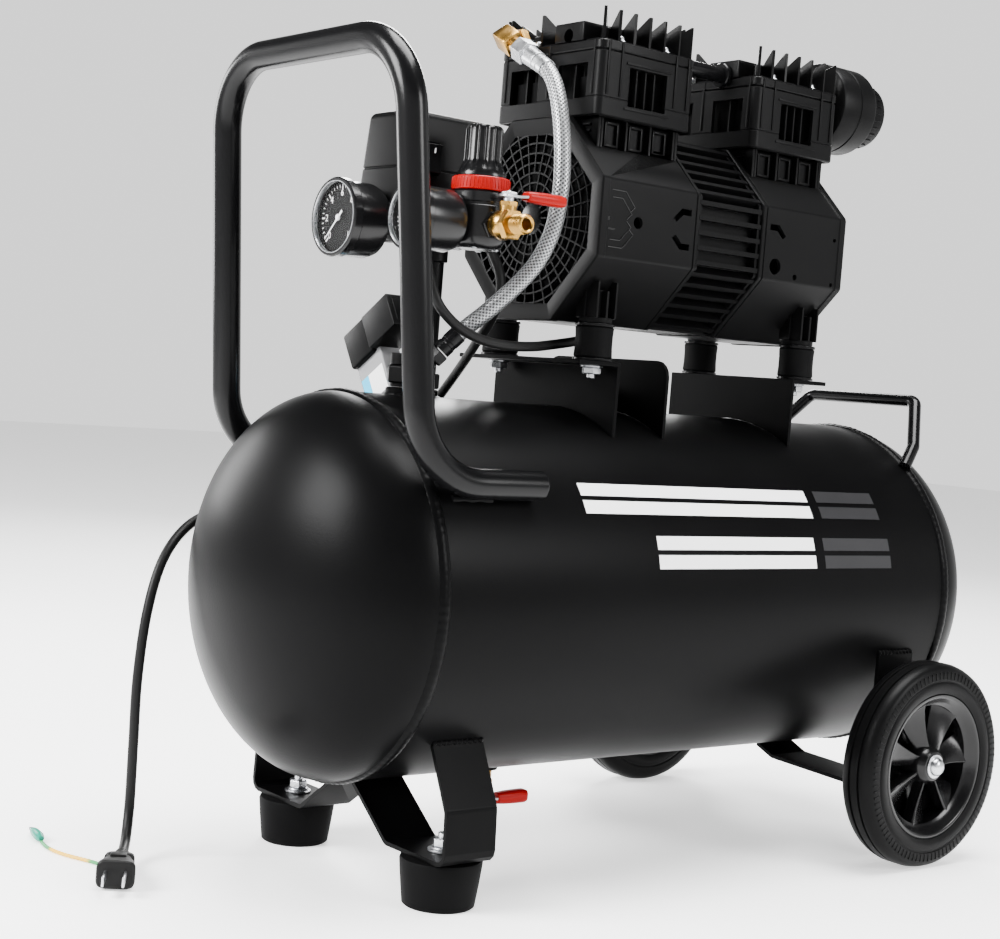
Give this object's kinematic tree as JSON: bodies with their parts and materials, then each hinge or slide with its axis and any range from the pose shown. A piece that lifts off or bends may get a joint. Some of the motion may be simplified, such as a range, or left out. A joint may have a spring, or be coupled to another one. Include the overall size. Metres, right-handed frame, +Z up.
{
  "type": "air compressor",
  "caption": "Portable oil-free piston air compressor: horizontal tank on feet and wheels, top-mounted motor and pumps, handle, gauges, regulator and mains cord.",
  "frame": {"origin": "on the floor under the middle of the tank", "axes": "+X along the tank towards the wheels and air filter, -X towards the gauges, +Z up, -Y towards the side with the outlet valve"},
  "size_m": [0.7144, 0.345, 0.6128],
  "materials": {
    "powder_coat": "satin black powder coat",
    "gloss_tube": "gloss black paint on steel tube",
    "black_plastic": "fine textured moulding",
    "black_rubber": "matt moulded rubber",
    "tyre": "solid rubber tyre, fine tread grooves",
    "cast_alloy": "die cast, plain",
    "black_alloy": "black painted casting",
    "zinc": "bright zinc plate",
    "brass": "turned brass",
    "red_plastic": "dipped and moulded red plastic",
    "steel_braid": "woven stainless braid",
    "cable_rubber": "smooth cable sheath",
    "earth_wire": "yellow and green insulation",
    "clip_green": "green vinyl boot",
    "needle_white": "white lacquered pointer"
  },
  "bodies": {
    "root": {"air_tank": "powder_coat", "front_leg_right": "powder_coat", "front_leg_left": "powder_coat", "foot_right": "black_rubber", "foot_left": "black_rubber", "wheel_bracket_right": "powder_coat", "wheel_bracket_left": "powder_coat", "axle_bolt_right": "zinc", "axle_bolt_left": "zinc", "carry_handle": "gloss_tube", "rear_handle": "gloss_tube", "front_motor_bracket": "powder_coat", "rear_motor_bracket": "powder_coat", "isolator_front_right": "black_rubber", "isolator_front_left": "black_rubber", "isolator_rear_right": "black_rubber", "isolator_rear_left": "black_rubber", "front_shroud": "black_plastic", "rear_shroud": "black_plastic", "stator_housing": "black_alloy", "front_cylinder": "cast_alloy", "rear_cylinder": "cast_alloy", "front_cylinder_cover": "black_plastic", "rear_cylinder_cover": "black_plastic", "front_cylinder_head": "black_alloy", "rear_cylinder_head": "black_alloy", "crossover_tube": "black_alloy", "intake_filter": "black_plastic", "delivery_elbow": "brass", "delivery_hose": "steel_braid", "check_valve": "brass", "air_manifold": "black_alloy", "pressure_switch_cover": "black_plastic", "tank_gauge": "black_alloy", "outlet_gauge": "black_alloy", "regulator_body": "black_alloy", "regulator_ring": "red_plastic", "outlet_valve": "brass", "drain_valve": "brass", "unloader_solenoid": "black_plastic", "motor_cable": "cable_rubber", "mains_cord": "cable_rubber", "plug": "cable_rubber", "ground_wire": "earth_wire", "ground_clip": "clip_green"},
    "wheel_right": {"tyre_right": "tyre", "rim_right": "black_plastic"},
    "wheel_left": {"tyre_left": "tyre", "rim_left": "black_plastic"},
    "crankshaft": {"rotor_shaft": "zinc", "front_fan": "black_plastic", "rear_fan": "black_plastic"},
    "piston_front": {"front_piston": "cast_alloy"},
    "piston_rear": {"rear_piston": "cast_alloy"},
    "knob": {"regulator_knob": "black_plastic"},
    "outlet_lever": {"outlet_valve_lever": "red_plastic"},
    "drain_lever": {"drain_valve_lever": "red_plastic"},
    "rocker": {"power_switch": "black_plastic"},
    "tank_needle": {"tank_gauge_needle": "needle_white"},
    "outlet_needle": {"outlet_gauge_needle": "needle_white"}
  },
  "joints": [
    {"name": "wheel_right_spin", "type": "hinge", "parent": "root", "child": "wheel_right", "pos_m": [0.204, -0.153, 0.078], "axis": [0, 1, 0], "continuous": true},
    {"name": "wheel_left_spin", "type": "hinge", "parent": "root", "child": "wheel_left", "pos_m": [0.204, 0.153, 0.078], "axis": [0, 1, 0], "continuous": true},
    {"name": "crankshaft_spin", "type": "hinge", "parent": "root", "child": "crankshaft", "pos_m": [0, 0, 0.4597], "axis": [1, 0, 0], "continuous": true},
    {"name": "piston_front_stroke", "type": "slide", "parent": "root", "child": "piston_front", "axis": [0, 0, 1], "range_m": [-0.005, 0.005]},
    {"name": "piston_rear_stroke", "type": "slide", "parent": "root", "child": "piston_rear", "axis": [0, 0, 1], "range_m": [-0.005, 0.005]},
    {"name": "regulator_knob_turn", "type": "hinge", "parent": "root", "child": "knob", "pos_m": [-0.189, -0.06, 0.4736], "axis": [0, 0, 1], "range_deg": [0, 1080]},
    {"name": "outlet_lever_turn", "type": "hinge", "parent": "root", "child": "outlet_lever", "pos_m": [-0.189, -0.09, 0.4608], "axis": [0, 0, 1], "range_deg": [-90, 0]},
    {"name": "drain_lever_turn", "type": "hinge", "parent": "root", "child": "drain_lever", "pos_m": [-0.1, 0, 0.0405], "axis": [0, 0, 1], "range_deg": [-90, 0]},
    {"name": "power_rocker_tilt", "type": "hinge", "parent": "root", "child": "rocker", "pos_m": [-0.208, -0.028, 0.485], "axis": [1, 0, 0], "range_deg": [0, 14]},
    {"name": "tank_needle_turn", "type": "hinge", "parent": "root", "child": "tank_needle", "pos_m": [-0.259, 0, 0.441], "axis": [-1, 0, 0], "range_deg": [0, 270]},
    {"name": "outlet_needle_turn", "type": "hinge", "parent": "root", "child": "outlet_needle", "pos_m": [-0.243, -0.06, 0.4423], "axis": [-1, 0, 0], "range_deg": [0, 270]}
  ]
}
